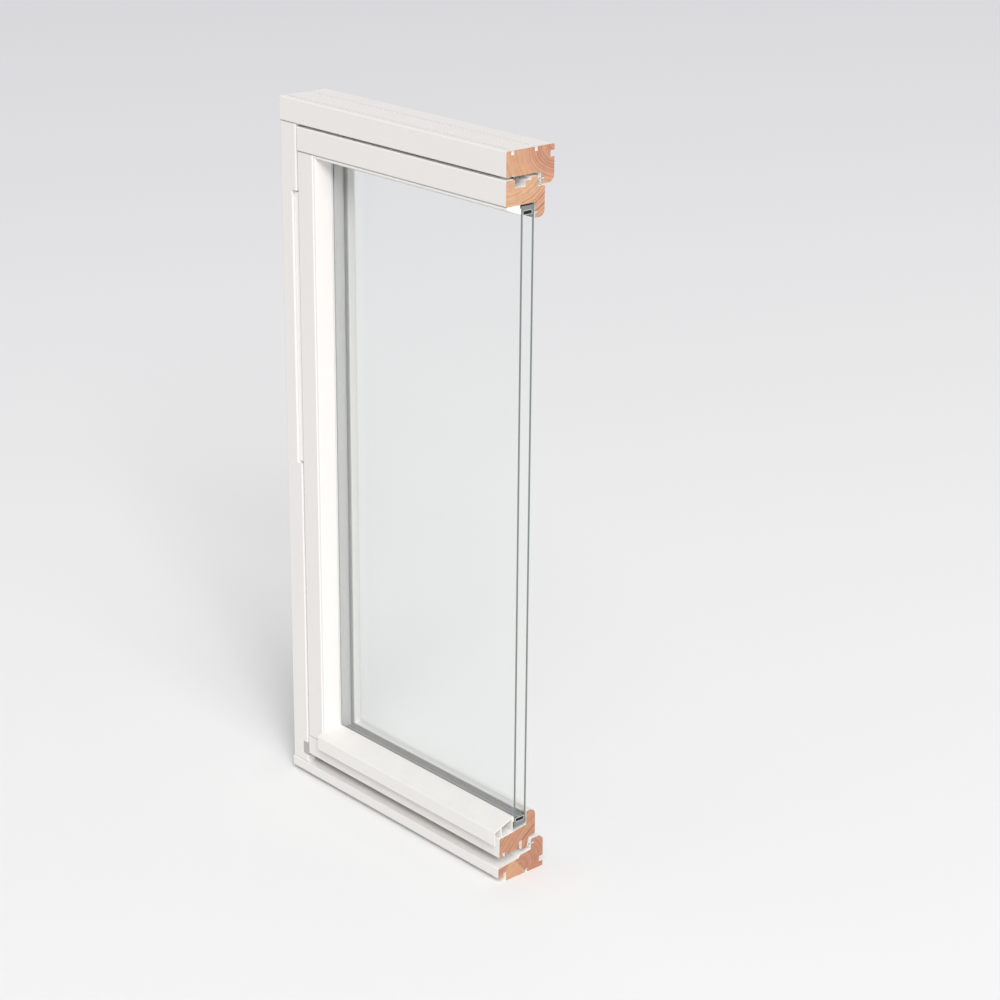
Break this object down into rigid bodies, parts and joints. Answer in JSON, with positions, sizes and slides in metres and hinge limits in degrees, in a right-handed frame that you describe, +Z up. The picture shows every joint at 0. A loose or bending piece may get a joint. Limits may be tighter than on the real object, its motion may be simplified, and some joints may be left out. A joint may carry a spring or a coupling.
{
  "type": "centre pivot window cut-away sample",
  "caption": "Cut-away sample of a white painted timber pivot window, sawn through at half width to show pine end grain, double glazing and beads.",
  "frame": {"origin": "centre of the bounding box on the underside of the sill", "axes": "+X along the width from the jamb to the sawn face, +Y from outdoors to indoors, +Z up"},
  "size_m": [0.586, 0.114, 1.288],
  "materials": {
    "painted_timber": "opaque white paint over laminated pine, bare end grain at the sawn face",
    "weather_seal": "white bulb seal",
    "white_bead": "satin white",
    "coated_aluminium": "satin white coating",
    "white_plastic": "satin white",
    "glass": "clear float glass",
    "spacer_aluminium": "mill finish",
    "edge_sealant": "matt grey",
    "outer_tape": "matt light grey",
    "inner_tape": "matt grey",
    "desiccant": "dark granules",
    "block_plastic": "moulded",
    "coated_steel": "white coated",
    "zinc_steel": "zinc plated",
    "grey_plastic": "moulded grey"
  },
  "bodies": {
    "root": {"frame_head": "painted_timber", "frame_jamb": "painted_timber", "frame_sill": "painted_timber", "sash_top_rail": "painted_timber", "sash_stile": "painted_timber", "sash_bottom_rail": "painted_timber", "weather_seal_head": "weather_seal", "weather_seal_jamb": "weather_seal", "weather_seal_sill": "weather_seal", "glazing_bead_top": "white_bead", "glazing_bead_side": "white_bead", "drip_bead": "coated_aluminium", "drip_bead_end_cap": "white_plastic", "outer_pane": "glass", "inner_pane": "glass", "spacer_bar_top": "spacer_aluminium", "spacer_bar_side": "spacer_aluminium", "spacer_bar_bottom": "spacer_aluminium", "edge_seal_top": "edge_sealant", "edge_seal_side": "edge_sealant", "edge_seal_bottom": "edge_sealant", "outer_tape_top": "outer_tape", "outer_tape_side": "outer_tape", "outer_tape_bottom": "outer_tape", "inner_tape_top": "inner_tape", "inner_tape_side": "inner_tape", "inner_tape_bottom": "inner_tape", "desiccant": "desiccant", "setting_block": "block_plastic", "location_blocks": "block_plastic", "swing_arm": "coated_steel", "pivot_plate": "zinc_steel", "arm_frame_pin": "zinc_steel", "arm_sash_pin": "zinc_steel", "run_up_block": "grey_plastic"}
  },
  "joints": []
}
